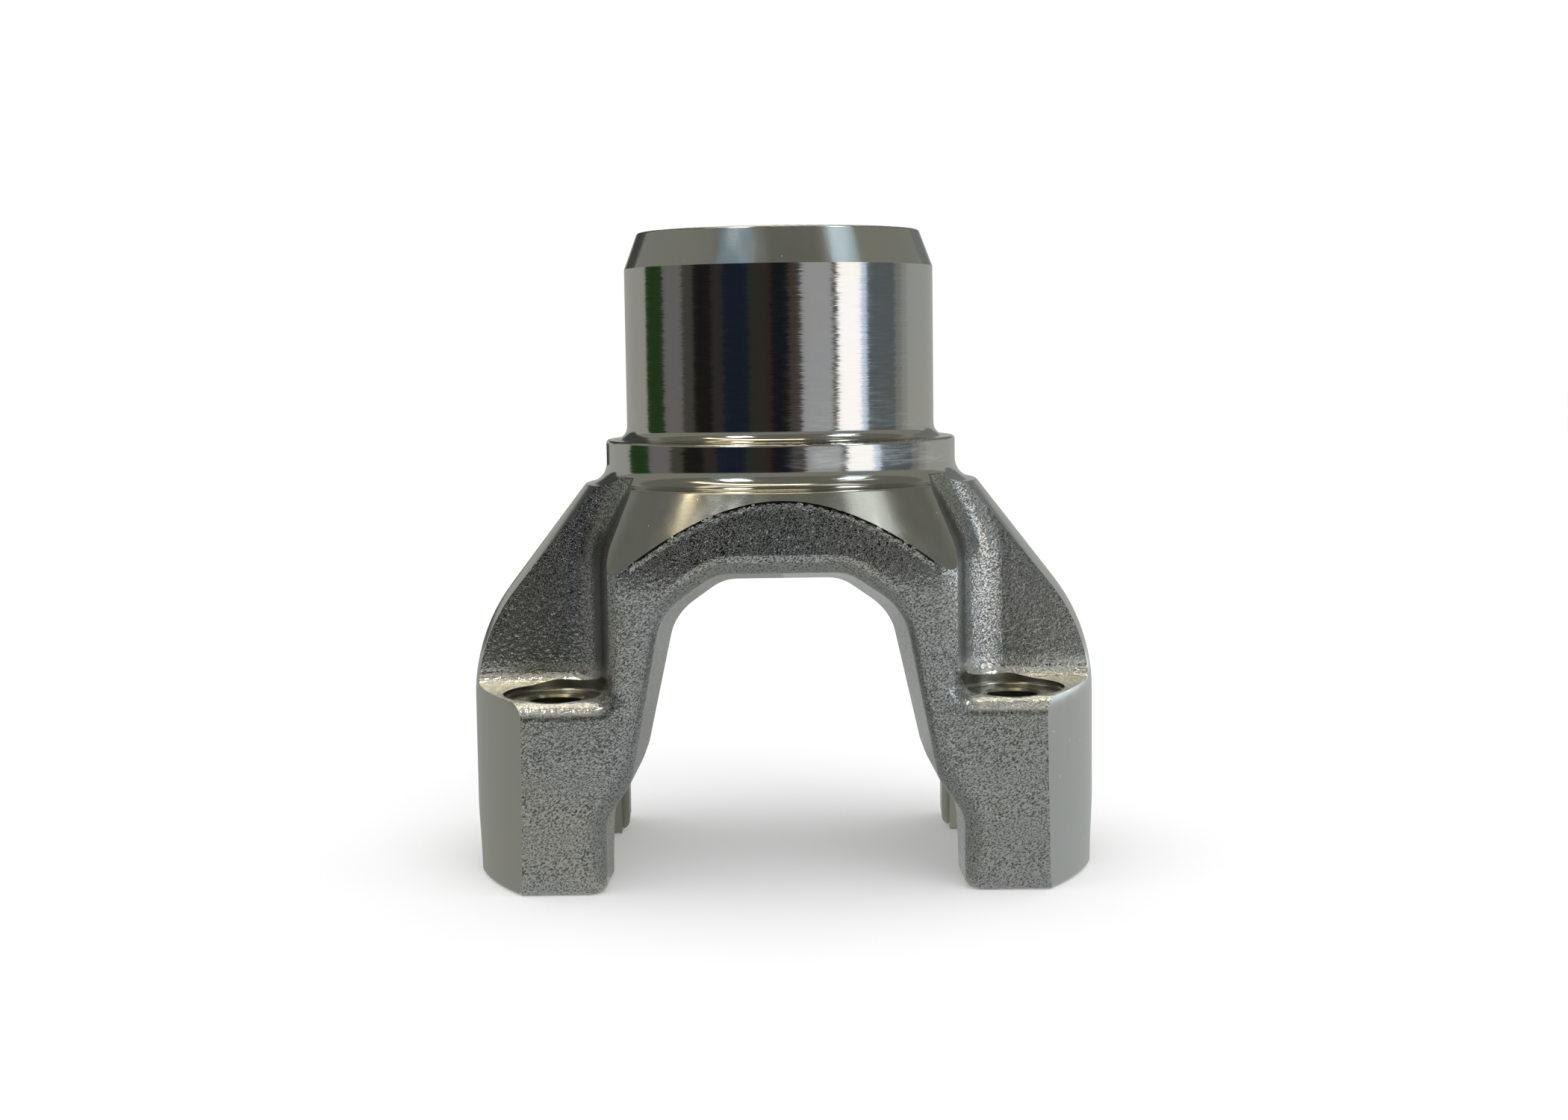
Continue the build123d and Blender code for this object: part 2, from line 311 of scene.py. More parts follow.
scratched.links.new(sets[0].outputs[0], lines.inputs[0])
scratched.links.new(sets[1].outputs[0], lines.inputs[1])
scratched.links.new(place.outputs["Object"], tall.inputs[0])
scratched.links.new(tall.outputs[0], wiped.inputs["Vector"])
scratched.links.new(lines.outputs[0], out.inputs["Lines"])
scratched.links.new(wiped.outputs["Fac"], out.inputs["Streaks"])

# Blast grain: dents of steel shot under the zinc, finer than half a millimetre and drawn out a little by
# the angle of the blast, on low waves of the forging die. They are shallower on the webs and on the crown
# of the rib. It also masks the lobes' upper lips, where a highlight is painted. Forged skin only.
grain = bpy.data.node_groups.new("blast_grain", "ShaderNodeTree")
socket(grain, "Dents per m", "NodeSocketFloat", "INPUT", 2800.0)
socket(grain, "Peaks per m", "NodeSocketFloat", "INPUT", 1700.0)
socket(grain, "Depth", "NodeSocketFloat", "INPUT", 0.00005)
socket(grain, "Normal", "NodeSocketVector", "OUTPUT")
socket(grain, "Level", "NodeSocketFloat", "OUTPUT")
socket(grain, "Lip highlight", "NodeSocketFloat", "OUTPUT")
given = add(grain, "NodeGroupInput", -1500, 0)
out = add(grain, "NodeGroupOutput", 700, 0)
place = add(grain, "ShaderNodeTexCoord", -1500, -250)
turn = add(grain, "ShaderNodeVectorRotate", -1300, -250, rotation_type="Y_AXIS")
turn.inputs["Angle"].default_value = radians(28)
draw = add(grain, "ShaderNodeVectorMath", -1120, -250, operation="MULTIPLY")
draw.inputs[1].default_value = (0.55, 0.9, 1.15)
small = add(grain, "ShaderNodeTexNoise", -900, -150)
small.inputs["Detail"].default_value = 2
small.inputs["Roughness"].default_value = 0.55
larger = add(grain, "ShaderNodeMath", -1120, -500, operation="MULTIPLY")
larger.inputs[1].default_value = 0.3
broad = add(grain, "ShaderNodeTexNoise", -900, -500)
broad.inputs["Detail"].default_value = 2
pressed = add(grain, "ShaderNodeMapRange", -700, -150, interpolation_type="SMOOTHSTEP")
pressed.inputs["From Min"].default_value = 0.36
pressed.inputs["From Max"].default_value = 0.52
waved = add(grain, "ShaderNodeMath", -500, -250, operation="MULTIPLY_ADD")
waved.inputs[1].default_value = 2.6
spots = add(grain, "ShaderNodeTexVoronoi", -900, -800, feature="F1")
cone = add(grain, "ShaderNodeMapRange", -700, -750)
cone.inputs["From Max"].default_value = 0.42
cone.inputs["To Min"].default_value = 2
cone.inputs["To Max"].default_value = 0
lot = add(grain, "ShaderNodeSeparateXYZ", -700, -1000)
rare = add(grain, "ShaderNodeMath", -500, -1000, operation="GREATER_THAN")
rare.inputs[1].default_value = 0.88
peak = add(grain, "ShaderNodeMath", -300, -850, operation="MULTIPLY")
total = add(grain, "ShaderNodeMath", -100, -350, operation="ADD")
cut = add(grain, "ShaderNodeBump", 300, -150)
cut.inputs["Strength"].default_value = 1
grain.links.new(place.outputs["Object"], turn.inputs["Vector"])
grain.links.new(turn.outputs["Vector"], draw.inputs[0])
grain.links.new(draw.outputs[0], small.inputs["Vector"])
grain.links.new(place.outputs["Object"], broad.inputs["Vector"])
grain.links.new(given.outputs["Dents per m"], small.inputs["Scale"])
grain.links.new(given.outputs["Dents per m"], larger.inputs[0])
grain.links.new(larger.outputs[0], broad.inputs["Scale"])
grain.links.new(small.outputs["Fac"], pressed.inputs["Value"])
grain.links.new(broad.outputs["Fac"], waved.inputs[0])
grain.links.new(pressed.outputs["Result"], waved.inputs[2])
grain.links.new(place.outputs["Object"], spots.inputs["Vector"])
grain.links.new(given.outputs["Peaks per m"], spots.inputs["Scale"])
grain.links.new(spots.outputs["Distance"], cone.inputs["Value"])
grain.links.new(spots.outputs["Color"], lot.inputs["Vector"])
grain.links.new(lot.outputs["X"], rare.inputs[0])
grain.links.new(cone.outputs["Result"], peak.inputs[0])
grain.links.new(rare.outputs[0], peak.inputs[1])
grain.links.new(waved.outputs[0], total.inputs[0])
grain.links.new(peak.outputs[0], total.inputs[1])
grain.links.new(total.outputs[0], cut.inputs["Height"])
where = add(grain, "ShaderNodeSeparateXYZ", -1300, 400)
side = add(grain, "ShaderNodeMath", -1120, 500, operation="ABSOLUTE")
beside = add(grain, "ShaderNodeMapRange", -900, 500, interpolation_type="SMOOTHSTEP")
beside.inputs["From Min"].default_value = 0.0445
beside.inputs["From Max"].default_value = 0.0495
above = add(grain, "ShaderNodeMapRange", -900, 300, interpolation_type="SMOOTHSTEP")
above.inputs["From Min"].default_value = 0.052
above.inputs["From Max"].default_value = 0.057
on_web = add(grain, "ShaderNodeMath", -600, 400, operation="MULTIPLY")
softer = add(grain, "ShaderNodeMapRange", -400, 400)
softer.inputs["To Min"].default_value = 1
softer.inputs["To Max"].default_value = 0.55
web_depth = add(grain, "ShaderNodeMath", 0, 200, operation="MULTIPLY")
high = add(grain, "ShaderNodeMapRange", -900, 1000, interpolation_type="SMOOTHSTEP")
high.inputs["From Min"].default_value = 0.066
high.inputs["From Max"].default_value = 0.08
inward = add(grain, "ShaderNodeMath", -600, 900, operation="SUBTRACT")
inward.inputs[0].default_value = 1
on_crown = add(grain, "ShaderNodeMath", -400, 1000, operation="MULTIPLY")
gentler = add(grain, "ShaderNodeMapRange", -200, 900)
gentler.inputs["To Min"].default_value = 1
gentler.inputs["To Max"].default_value = 0.6
depth = add(grain, "ShaderNodeMath", 150, 400, operation="MULTIPLY")
# Mask of the lobes' upper lips, where the forging's material paints a highlight.
lip = add(grain, "ShaderNodeMapRange", -900, 750, interpolation_type="SMOOTHSTEP")
lip.inputs["From Min"].default_value = 0.0455
lip.inputs["From Max"].default_value = 0.047
below = add(grain, "ShaderNodeMath", -600, 650, operation="SUBTRACT")
below.inputs[0].default_value = 1
lip_band = add(grain, "ShaderNodeMath", -400, 700, operation="MULTIPLY")
lip_highlight = add(grain, "ShaderNodeMath", -200, 600, operation="MULTIPLY")
grain.links.new(place.outputs["Object"], where.inputs["Vector"])
grain.links.new(where.outputs["X"], side.inputs[0])
grain.links.new(side.outputs[0], beside.inputs["Value"])
grain.links.new(where.outputs["Z"], above.inputs["Value"])
grain.links.new(beside.outputs["Result"], on_web.inputs[0])
grain.links.new(above.outputs["Result"], on_web.inputs[1])
grain.links.new(on_web.outputs[0], softer.inputs["Value"])
grain.links.new(softer.outputs["Result"], web_depth.inputs[0])
grain.links.new(given.outputs["Depth"], web_depth.inputs[1])
grain.links.new(where.outputs["Z"], lip.inputs["Value"])
grain.links.new(above.outputs["Result"], below.inputs[1])
grain.links.new(lip.outputs["Result"], lip_band.inputs[0])
grain.links.new(below.outputs[0], lip_band.inputs[1])
grain.links.new(lip_band.outputs[0], lip_highlight.inputs[0])
grain.links.new(beside.outputs["Result"], lip_highlight.inputs[1])
grain.links.new(lip_highlight.outputs[0], out.inputs["Lip highlight"])
grain.links.new(where.outputs["Z"], high.inputs["Value"])
grain.links.new(beside.outputs["Result"], inward.inputs[1])
grain.links.new(high.outputs["Result"], on_crown.inputs[0])
grain.links.new(inward.outputs[0], on_crown.inputs[1])
grain.links.new(on_crown.outputs[0], gentler.inputs["Value"])
grain.links.new(web_depth.outputs[0], depth.inputs[0])
grain.links.new(gentler.outputs["Result"], depth.inputs[1])
grain.links.new(depth.outputs[0], cut.inputs["Distance"])
grain.links.new(cut.outputs["Normal"], out.inputs["Normal"])
grain.links.new(pressed.outputs["Result"], out.inputs["Level"])

# Cut edge: where the cone is turned through the forged rib the skin is rolled up a little. Its end carries
# a painted shadow, a dark ragged line, with painted glints, bright spots, on it. It is found by its depth
# under the cone. Forged skin only.
cone_top, cone_foot = np.array(turned_corners[3][:2]) * mm, np.array(turned_corners[2][:2]) * mm
cone_run = (cone_top - cone_foot) / np.linalg.norm(cone_top - cone_foot)
cut_edge = bpy.data.node_groups.new("cut_edge", "ShaderNodeTree")
socket(cut_edge, "Line", "NodeSocketFloat", "OUTPUT")
socket(cut_edge, "Glint", "NodeSocketFloat", "OUTPUT")
socket(cut_edge, "Rise", "NodeSocketFloat", "OUTPUT")
out = add(cut_edge, "NodeGroupOutput", 900, 0)
place = add(cut_edge, "ShaderNodeTexCoord", -1500, 0)
flat = add(cut_edge, "ShaderNodeVectorMath", -1300, 150, operation="MULTIPLY")
flat.inputs[1].default_value = (1, 1, 0)
round_r = add(cut_edge, "ShaderNodeVectorMath", -1100, 150, operation="LENGTH")
apart = add(cut_edge, "ShaderNodeSeparateXYZ", -1300, -150)
part_r = add(cut_edge, "ShaderNodeMath", -900, 150, operation="MULTIPLY_ADD")
part_r.inputs[1].default_value = cone_run[1]
part_r.inputs[2].default_value = -(cone_run[1] * cone_top[0] - cone_run[0] * cone_top[1])
under = add(cut_edge, "ShaderNodeMath", -700, 50, operation="MULTIPLY_ADD")
under.inputs[1].default_value = -cone_run[0]
ragged = add(cut_edge, "ShaderNodeTexNoise", -900, -350)
ragged.inputs["Scale"].default_value = 900
ragged.inputs["Detail"].default_value = 3
wobble = add(cut_edge, "ShaderNodeMath", -500, -50, operation="MULTIPLY_ADD")
wobble.inputs[1].default_value = 0.0011
band = add(cut_edge, "ShaderNodeMapRange", -250, 100)
band.inputs["From Min"].default_value = 0.0001
band.inputs["From Max"].default_value = 0.00018
near = add(cut_edge, "ShaderNodeMath", -900, -600, operation="ABSOLUTE")
on_rib = add(cut_edge, "ShaderNodeMath", -700, -600, operation="LESS_THAN")
on_rib.inputs[1].default_value = 0.0375
high = add(cut_edge, "ShaderNodeMath", -700, -800, operation="GREATER_THAN")
high.inputs[1].default_value = 0.078
both = add(cut_edge, "ShaderNodeMath", -500, -700, operation="MULTIPLY")
line = add(cut_edge, "ShaderNodeMath", 100, 100, operation="MULTIPLY")
glint_spots = add(cut_edge, "ShaderNodeTexNoise", -500, -350)
glint_spots.inputs["Scale"].default_value = 420
glint_spots.inputs["Detail"].default_value = 2
glinting = add(cut_edge, "ShaderNodeMath", -250, -350, operation="GREATER_THAN")
glinting.inputs[1].default_value = 0.6
glint = add(cut_edge, "ShaderNodeMath", 300, -100, operation="MULTIPLY")
swell = add(cut_edge, "ShaderNodeMapRange", -250, -150, interpolation_type="SMOOTHSTEP")
swell.inputs["From Min"].default_value = -0.0016
swell.inputs["From Max"].default_value = 0.0001
rise = add(cut_edge, "ShaderNodeMath", 300, -300, operation="MULTIPLY")
cut_edge.links.new(place.outputs["Object"], flat.inputs[0])
cut_edge.links.new(flat.outputs[0], round_r.inputs[0])
cut_edge.links.new(place.outputs["Object"], apart.inputs["Vector"])
cut_edge.links.new(round_r.outputs["Value"], part_r.inputs[0])
cut_edge.links.new(apart.outputs["Z"], under.inputs[0])
cut_edge.links.new(part_r.outputs[0], under.inputs[2])
cut_edge.links.new(place.outputs["Object"], ragged.inputs["Vector"])
cut_edge.links.new(ragged.outputs["Fac"], wobble.inputs[0])
cut_edge.links.new(under.outputs[0], wobble.inputs[2])
cut_edge.links.new(wobble.outputs[0], band.inputs["Value"])
cut_edge.links.new(apart.outputs["X"], near.inputs[0])
cut_edge.links.new(near.outputs[0], on_rib.inputs[0])
cut_edge.links.new(apart.outputs["Z"], high.inputs[0])
cut_edge.links.new(on_rib.outputs[0], both.inputs[0])
cut_edge.links.new(high.outputs[0], both.inputs[1])
cut_edge.links.new(band.outputs["Result"], line.inputs[0])
cut_edge.links.new(both.outputs[0], line.inputs[1])
cut_edge.links.new(place.outputs["Object"], glint_spots.inputs["Vector"])
cut_edge.links.new(glint_spots.outputs["Fac"], glinting.inputs[0])
cut_edge.links.new(line.outputs[0], glint.inputs[0])
cut_edge.links.new(glinting.outputs[0], glint.inputs[1])
cut_edge.links.new(under.outputs[0], swell.inputs["Value"])
cut_edge.links.new(swell.outputs["Result"], rise.inputs[0])
cut_edge.links.new(both.outputs[0], rise.inputs[1])
cut_edge.links.new(line.outputs[0], out.inputs["Line"])
cut_edge.links.new(glint.outputs[0], out.inputs["Glint"])
cut_edge.links.new(rise.outputs[0], out.inputs["Rise"])


def finished(name, base, tint):
    """Material of the yoke by name, with metal set and the zinc tint in place."""
    tree = skin.materials[name].node_tree
    metal = tree.nodes["Principled BSDF"]
    metal.inputs["Metallic"].default_value = 1.0
    colour = add(tree, "ShaderNodeGroup", -700, 200, node_tree=zinc)
    colour.inputs["Base"].default_value = base
    colour.inputs["Amount"].default_value = tint
    return tree, metal, colour


# Spigot, collar and their fillets: fine turned, nearly a mirror.
tree, metal, colour = finished("turned_bright", (0.62, 0.61, 0.58, 1), 0.5)
marks = add(tree, "ShaderNodeGroup", -700, -200, node_tree=lathe)
marks.inputs["Rings per m"].default_value = 2300
marks.inputs["Depth"].default_value = 0.0000025
marks.inputs["Chatter"].default_value = 0.12
gloss = add(tree, "ShaderNodeMapRange", -350, -50)
gloss.inputs["From Min"].default_value = 0.35
gloss.inputs["From Max"].default_value = 0.65
gloss.inputs["To Min"].default_value = 0.07
gloss.inputs["To Max"].default_value = 0.14
tree.links.new(colour.outputs["Color"], metal.inputs["Base Color"])
tree.links.new(marks.outputs["Rings"], gloss.inputs["Value"])
tree.links.new(gloss.outputs["Result"], metal.inputs["Roughness"])
tree.links.new(marks.outputs["Normal"], metal.inputs["Normal"])

# Bevel, cone flats and ear sides: turned coarser, with scratches from handling.
tree, metal, colour = finished("turned_satin", (0.6, 0.6, 0.57, 1), 0.6)
marks = add(tree, "ShaderNodeGroup", -900, -300, node_tree=lathe)
marks.inputs["Rings per m"].default_value = 1500
marks.inputs["Depth"].default_value = 0.000004
nicks = add(tree, "ShaderNodeGroup", -900, -50, node_tree=scratched)
nicks.inputs["Lines per m"].default_value = 300
nicks.inputs["Width"].default_value = 0.036
wipe = add(tree, "ShaderNodeMapRange", -600, -150)
wipe.inputs["From Min"].default_value = 0.3
wipe.inputs["From Max"].default_value = 0.7
wipe.inputs["To Min"].default_value = 0.12
wipe.inputs["To Max"].default_value = 0.2
gloss = add(tree, "ShaderNodeMath", -350, -50, operation="MULTIPLY_ADD")
gloss.inputs[1].default_value = 0.4
worn = add(tree, "ShaderNodeMix", -350, 250, data_type="RGBA", blend_type="MULTIPLY")
worn.inputs["B"].default_value = (1.7, 1.7, 1.65, 1)
tree.links.new(colour.outputs["Color"], worn.inputs["A"])
tree.links.new(nicks.outputs["Lines"], worn.inputs["Factor"])
tree.links.new(worn.outputs["Result"], metal.inputs["Base Color"])
tree.links.new(nicks.outputs["Streaks"], wipe.inputs["Value"])
tree.links.new(nicks.outputs["Lines"], gloss.inputs[0])
tree.links.new(wipe.outputs["Result"], gloss.inputs[2])
tree.links.new(gloss.outputs[0], metal.inputs["Roughness"])
tree.links.new(marks.outputs["Normal"], metal.inputs["Normal"])

# Cup seats, spotfaces and bolt holes: bored and drilled, a little rougher, and darker, partly as painted
# shade for the shadow that falls in the spotfaces and holes.
tree, metal, colour = finished("bored_steel_and_shade", (0.38, 0.375, 0.32, 1), 0.5)
marks = add(tree, "ShaderNodeGroup", -700, -200, node_tree=lathe)
marks.inputs["Rings per m"].default_value = 1800
marks.inputs["Depth"].default_value = 0.000008
tree.links.new(colour.outputs["Color"], metal.inputs["Base Color"])
metal.inputs["Roughness"].default_value = 0.24
tree.links.new(marks.outputs["Normal"], metal.inputs["Normal"])

# Webs, rib, lobes and arch: forged and blasted, with dark pits between the dents.
tree, metal, colour = finished("blasted_forging", (0.52, 0.52, 0.5, 1), 0.6)
dents = add(tree, "ShaderNodeGroup", -1000, -300, node_tree=grain)
dents.inputs["Dents per m"].default_value = 3200
dents.inputs["Depth"].default_value = 0.000065
shade = add(tree, "ShaderNodeMix", -350, 200, data_type="RGBA", blend_type="MIX")
dark = add(tree, "ShaderNodeMix", -520, 60, data_type="RGBA", blend_type="MULTIPLY")
dark.inputs["Factor"].default_value = 1
dark.inputs["B"].default_value = (0.24, 0.24, 0.22, 1)
gloss = add(tree, "ShaderNodeMapRange", -350, -150)
gloss.inputs["To Min"].default_value = 0.18
gloss.inputs["To Max"].default_value = 0.09
tree.links.new(dents.outputs["Level"], shade.inputs["Factor"])
tree.links.new(colour.outputs["Color"], dark.inputs["A"])
tree.links.new(dark.outputs["Result"], shade.inputs["A"])
tree.links.new(colour.outputs["Color"], shade.inputs["B"])
edge = add(tree, "ShaderNodeGroup", -1000, -600, node_tree=cut_edge)
# Painted shadow and painted glints along the cut edge: a near black ragged line, with near white spots on
# it.
painted_shadow_line = add(tree, "ShaderNodeMix", -150, 200, data_type="RGBA", blend_type="MIX")
painted_shadow_line.inputs["B"].default_value = (0.03, 0.03, 0.028, 1)
painted_glints = add(tree, "ShaderNodeMix", 50, 200, data_type="RGBA", blend_type="MIX")
painted_glints.inputs["B"].default_value = (0.85, 0.84, 0.8, 1)
rolled = add(tree, "ShaderNodeBump", -350, -450)
rolled.inputs["Distance"].default_value = 0.00022
metal.location = (300, 100)
tree.nodes["Material Output"].location = (600, 100)
# Painted highlight: the lobes' upper lips are painted near white, for the light that catches them.
painted_lip_highlight = add(tree, "ShaderNodeMix", -250, 450, data_type="RGBA", blend_type="MIX")
painted_lip_highlight.inputs["B"].default_value = (0.97, 0.96, 0.9, 1)
tree.links.new(dents.outputs["Lip highlight"], painted_lip_highlight.inputs["Factor"])
tree.links.new(shade.outputs["Result"], painted_lip_highlight.inputs["A"])
tree.links.new(painted_lip_highlight.outputs["Result"], painted_shadow_line.inputs["A"])
tree.links.new(edge.outputs["Line"], painted_shadow_line.inputs["Factor"])
tree.links.new(painted_shadow_line.outputs["Result"], painted_glints.inputs["A"])
tree.links.new(edge.outputs["Glint"], painted_glints.inputs["Factor"])
tree.links.new(painted_glints.outputs["Result"], metal.inputs["Base Color"])
tree.links.new(dents.outputs["Level"], gloss.inputs["Value"])
tree.links.new(gloss.outputs["Result"], metal.inputs["Roughness"])
tree.links.new(edge.outputs["Rise"], rolled.inputs["Height"])
tree.links.new(dents.outputs["Normal"], rolled.inputs["Normal"])
tree.links.new(rolled.outputs["Normal"], metal.inputs["Normal"])

# ---------------------------------------------------------------- floor
# Plain white sweep of a product table. It keeps the soft shadow of the yoke, and far from it reads
# as the white ground of the picture, to the camera and in the metal.
floor_mesh = bpy.data.meshes.new("floor")
floor_mesh.from_pydata([(-6, -6, 0), (6, -6, 0), (6, 6, 0), (-6, 6, 0)], [], [(0, 1, 2, 3)])
floor = bpy.data.objects.new("floor", floor_mesh)
bpy.context.scene.collection.objects.link(floor)
paint = bpy.data.materials.new("floor_white")
paint.use_nodes = True
tree = paint.node_tree
tree.nodes.remove(tree.nodes["Principled BSDF"])
end = tree.nodes["Material Output"]
matt = add(tree, "ShaderNodeBsdfDiffuse", -400, 100)
matt.inputs["Color"].default_value = (0.8, 0.8, 0.8, 1)
glow = add(tree, "ShaderNodeEmission", -400, -100)
glow.inputs["Color"].default_value = (1, 1, 1, 1)
path = add(tree, "ShaderNodeLightPath", -900, -200)
seen = add(tree, "ShaderNodeMath", -700, -200, operation="MAXIMUM")
level = add(tree, "ShaderNodeMath", -550, -200, operation="MULTIPLY")
level.inputs[1].default_value = 0.2
both = add(tree, "ShaderNodeAddShader", -150, 0)
tree.links.new(path.outputs["Is Camera Ray"], seen.inputs[0])
tree.links.new(path.outputs["Is Glossy Ray"], seen.inputs[1])
tree.links.new(seen.outputs[0], level.inputs[0])
tree.links.new(level.outputs[0], glow.inputs["Strength"])
tree.links.new(matt.outputs[0], both.inputs[0])
tree.links.new(glow.outputs[0], both.inputs[1])
tree.links.new(both.outputs[0], end.inputs["Surface"])
floor_mesh.materials.append(paint)

world = bpy.data.worlds.new("studio_air")
bpy.context.scene.world = world
world.use_nodes = True
tree = world.node_tree
ground = tree.nodes["Background"]
ground.inputs["Color"].default_value = (1, 1, 1, 1)
ground.inputs["Strength"].default_value = 1.0

# ---------------------------------------------------------------- studio
# Boards stand round the table and their cloths run in over the floor to a grey mat, so that the polished
# steel mirrors upright stripes. Over them hang a pale curtain, a roof, lamps and tubes. The camera sees
# none of them.
board_r, board_top, roof_z = 1.6, 0.62, 1.4
drop_r = board_r - 0.03                 # narrower boards hang just in front of the wide ones
mat_r, layer = 0.35, 0.0002             # each cloth on the floor lies one layer over the last
board_z, mat_z, cloth_z = layer, 2 * layer, 3 * layer
axis_gap = 0.001                        # leaves a pinhole at the shaft axis
boards = [                              # from, to (degrees from the camera's side, + to the right), colour
    (-180, -115, (0.40, 0.40, 0.37)), (-115, -94, (0.02, 0.055, 0.015)), (-94, -75, (0.19, 0.18, 0.19)),
    (-75, -65, (0.07, 0.07, 0.06)), (-65, -50, (0.014, 0.013, 0.013)), (-50, -41, (0.04, 0.034, 0.033)),
    (-41, -22, (0.012, 0.018, 0.035)), (-22, -10, (0.035, 0.035, 0.03)), (-10, -5.5, (0.045, 0.028, 0.022)),
    (-5.5, 7, (0.009, 0.012, 0.015)), (7, 16, (0.065, 0.05, 0.045)), (16, 39, (0.43, 0.44, 0.46)),
    (39, 43, (0.1, 0.1, 0.1)), (43, 62, (1.6, 1.55, 1.55)), (62, 67, (0.75, 0.9, 1.15)),
    (67, 94, (0.125, 0.145, 0.155)), (94, 101, (0.24, 0.25, 0.24)), (101, 108, (0.33, 0.34, 0.325)),
    (108, 180, (0.42, 0.43, 0.41))]
mats = [                                # from, to, reach from the shaft axis, colour
    (-180, -55, 0.75, (0.33, 0.335, 0.31)), (-55, -30, 0.44, (0.54, 0.55, 0.53)),
    (-30, 30, mat_r, (0.58, 0.59, 0.58)), (30, 75, 0.44, (0.48, 0.5, 0.49)),
    (75, 180, 0.75, (0.48, 0.5, 0.49))]


def around(azimuth, distance, height):
    """Point at an azimuth from the camera's side, in degrees, at a distance from the shaft axis."""
    return (distance * sin(radians(azimuth)), -distance * cos(radians(azimuth)), height)


def light_board(name, corners, faces, colour, strength=1.0):
    """Board that glows evenly, seen in the metal but not by the camera."""
    mesh = bpy.data.meshes.new(name)
    mesh.from_pydata(corners, [], faces)
    board = bpy.data.objects.new(name, mesh)
    bpy.context.scene.collection.objects.link(board)
    cloth = bpy.data.materials.new(name)
    cloth.use_nodes = True
    tree = cloth.node_tree
    tree.nodes.remove(tree.nodes["Principled BSDF"])
    shine = add(tree, "ShaderNodeEmission", -200, 0)
    shine.inputs["Color"].default_value = (*colour, 1)
    shine.inputs["Strength"].default_value = strength
    tree.links.new(shine.outputs[0], tree.nodes["Material Output"].inputs["Surface"])
    mesh.materials.append(cloth)
    board.visible_camera = False
    board.visible_shadow = False
    board.visible_diffuse = False


def curved_board(name, start, stop, profile, colour, strength=1.0):
    """Board swept round the table from one azimuth to another along a profile of (distance, height)."""
    steps = max(1, round((stop - start) / 8))
    turns = [start + (stop - start) * i / steps for i in range(steps + 1)]
    corners = [around(t, distance, height) for t in turns for distance, height in profile]
    n = len(profile)
    faces = [(i * n + j, (i + 1) * n + j, (i + 1) * n + j + 1, i * n + j + 1)
             for i in range(steps) for j in range(n - 1)]
    light_board(name, corners, faces, colour, strength)


for number, (start, stop, colour) in enumerate(boards):
    curved_board(f"board_{number}", start, stop,
                 [(mat_r, board_z), (board_r, board_z), (board_r, board_top)], colour)
for number, (start, stop, reach, colour) in enumerate(mats):
    curved_board(f"mat_{number}", start, stop, [(axis_gap, mat_z), (reach, mat_z)], colour)
curved_board("sky_strip", 43, 68, [(board_r - 0.02, board_top - 0.14), (board_r - 0.02, board_top)],
             (0.65, 0.8, 1.0), 1.5)
curved_board("dark_drop", -174, -138, [(drop_r, 0.35), (drop_r, 1.1)], (0.06, 0.065, 0.06))
curved_board("dark_cloth", -172, -154, [(0.75, cloth_z), (drop_r, cloth_z), (drop_r, 0.06)],
             (0.06, 0.065, 0.06))
curved_board("grey_drop", 138, 174, [(drop_r, 0.35), (drop_r, 1.1)], (0.2, 0.21, 0.21))
curved_board("white_drop", 174, 186, [(board_r - 0.04, 0.42), (board_r - 0.04, roof_z)], (1.2, 1.22, 1.12))
curved_board("pale_cloth", 5, 20, [(0.76, cloth_z), (1.5, cloth_z)], (0.4, 0.42, 0.46))
# Painted shade: a dark sheet under the arch, mirrored in the arch's inner faces and the rib's lip in place
# of the shadow there.
light_board("arch_shadow_sheet", [(x, y, cloth_z) for x, y in ((-0.037, -0.13), (0.037, -0.13), (0.037, 0.13),
                                                        (-0.037, 0.13))],
            [(0, 1, 2, 3)], (0.34, 0.35, 0.34))
curved_board("blue_cloth", 20, 150, [(0.5, cloth_z), (1.5, cloth_z)], (1.35, 1.45, 1.6))
curved_board("curtain", -180, 180, [(board_r, board_top), (board_r, roof_z)], (0.27, 0.27, 0.235))
light_board("roof", [(-2, -2, roof_z), (2, -2, roof_z), (2, 2, roof_z), (-2, 2, roof_z)], [(0, 1, 2, 3)],
            (0.17, 0.17, 0.145))
light_board("roof_behind", [(x, y, roof_z - 0.01) for x, y in ((-0.5, 0.12), (0.5, 0.12), (0.5, 1.6),
                                                              (-0.5, 1.6))],
            [(0, 1, 2, 3)], (0.95, 0.95, 0.86))


def hung(name, azimuth, elevation, distance, width, depth, colour, strength):
    """Board of a width and depth hung square to the line from the yoke, at an azimuth and elevation."""
    aim = Vector(around(azimuth, cos(radians(elevation)), sin(radians(elevation))))
    side = Vector(around(azimuth + 90, 1, 0))
    rise = aim.cross(side)
    middle = aim * distance + Vector((0, 0, 0.11))
    corners = [middle + side * width / 2 * i + rise * depth / 2 * j
               for i, j in ((-1, -1), (1, -1), (1, 1), (-1, 1))]
    light_board(name, [tuple(c) for c in corners], [(0, 1, 2, 3)], colour, strength)


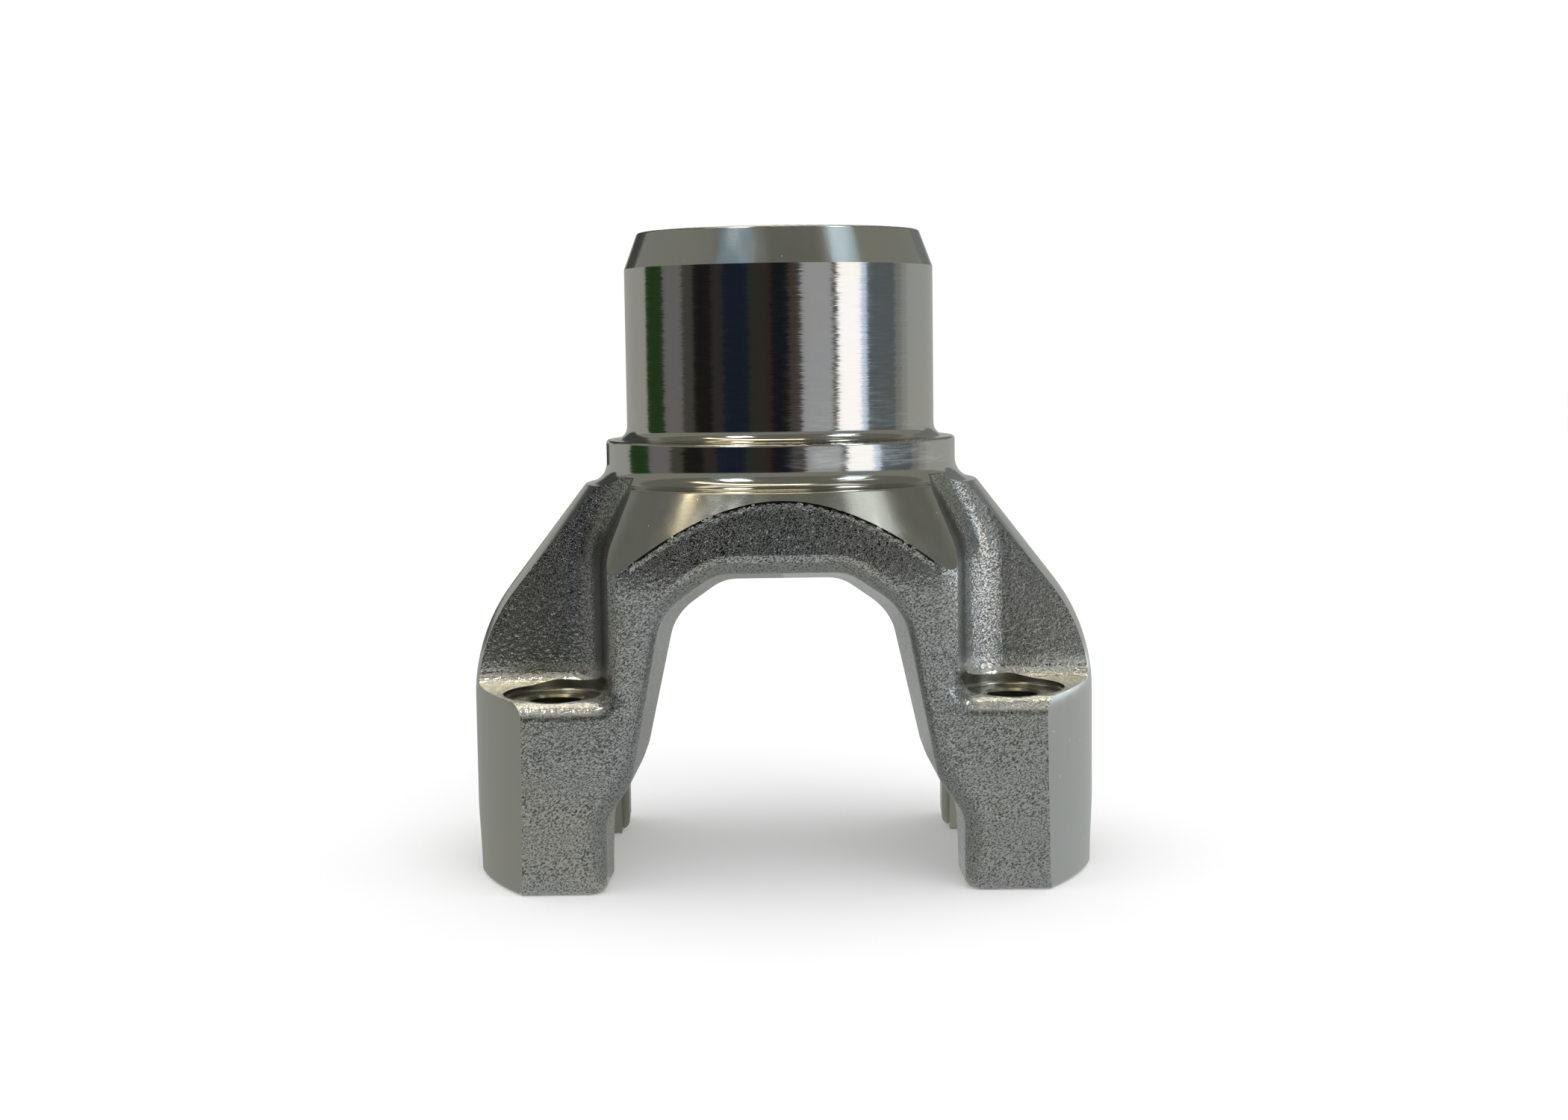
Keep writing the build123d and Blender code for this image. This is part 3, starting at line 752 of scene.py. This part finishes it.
def tube(name, left, right, width, colour, strength):
    """Long lamp that hangs level over the yoke between two points (x, y)."""
    a, b = Vector((*left, roof_z - 0.03)), Vector((*right, roof_z - 0.03))
    side = (b - a).cross(Vector((0, 0, 1))).normalized() * width / 2
    light_board(name, [tuple(c) for c in (a - side, b - side, b + side, a + side)], [(0, 1, 2, 3)],
                colour, strength)


hung("lamp_left", -40, 54, 1.1, 0.23, 0.19, (0.9, 0.95, 1.0), 12)
hung("lamp_right", 60, 50, 1.1, 0.21, 0.16, (0.9, 0.95, 1.0), 12)
hung("glow_left", -36, 42, 1.15, 0.5, 0.13, (0.2, 0.28, 0.33), 1)
hung("glow_right", 58, 41, 1.15, 0.36, 0.15, (0.6, 0.8, 0.95), 1)
tube("tube_left", (-0.88, -0.1), (0.2, -0.03), 0.13, (1.0, 0.84, 0.55), 3.8)
tube("tube_right", (0.58, -0.3), (0.95, -0.05), 0.13, (0.95, 1.0, 0.97), 1.1)

lamp = bpy.data.lights.new("key", "AREA")
lamp.shape = "RECTANGLE"
lamp.size, lamp.size_y = 0.9, 0.9
lamp.energy = 4
key = bpy.data.objects.new("key", lamp)
bpy.context.scene.collection.objects.link(key)
key.location = (0.35, -1.0, 1.15)
key.rotation_euler = (Vector((0, 0, 0.08)) - key.location).to_track_quat("-Z", "Y").to_euler()
key.visible_glossy = False

# ---------------------------------------------------------------- camera
# A long normal lens a little above the collar, looking down by five degrees. The photograph's slight
# turn on the paper is kept.
eye = Vector((0.0005, -0.606, 0.1371))
pitch, roll = radians(5.41), radians(0.8)
view = bpy.data.cameras.new("camera")
view.sensor_width = 36
focal_px, frame_px = 3019.5, 2100       # focal length and width of the picture, in its pixels
view.lens = view.sensor_width * focal_px / frame_px
view.clip_start = 0.05
camera = bpy.data.objects.new("camera", view)
bpy.context.scene.collection.objects.link(camera)
camera.matrix_world = (Matrix.Translation(eye) @ Matrix.Rotation(pi / 2 - pitch, 4, "X")
                       @ Matrix.Rotation(-roll, 4, "Z"))
bpy.context.scene.camera = camera
bpy.context.scene.view_settings.view_transform = "Standard"
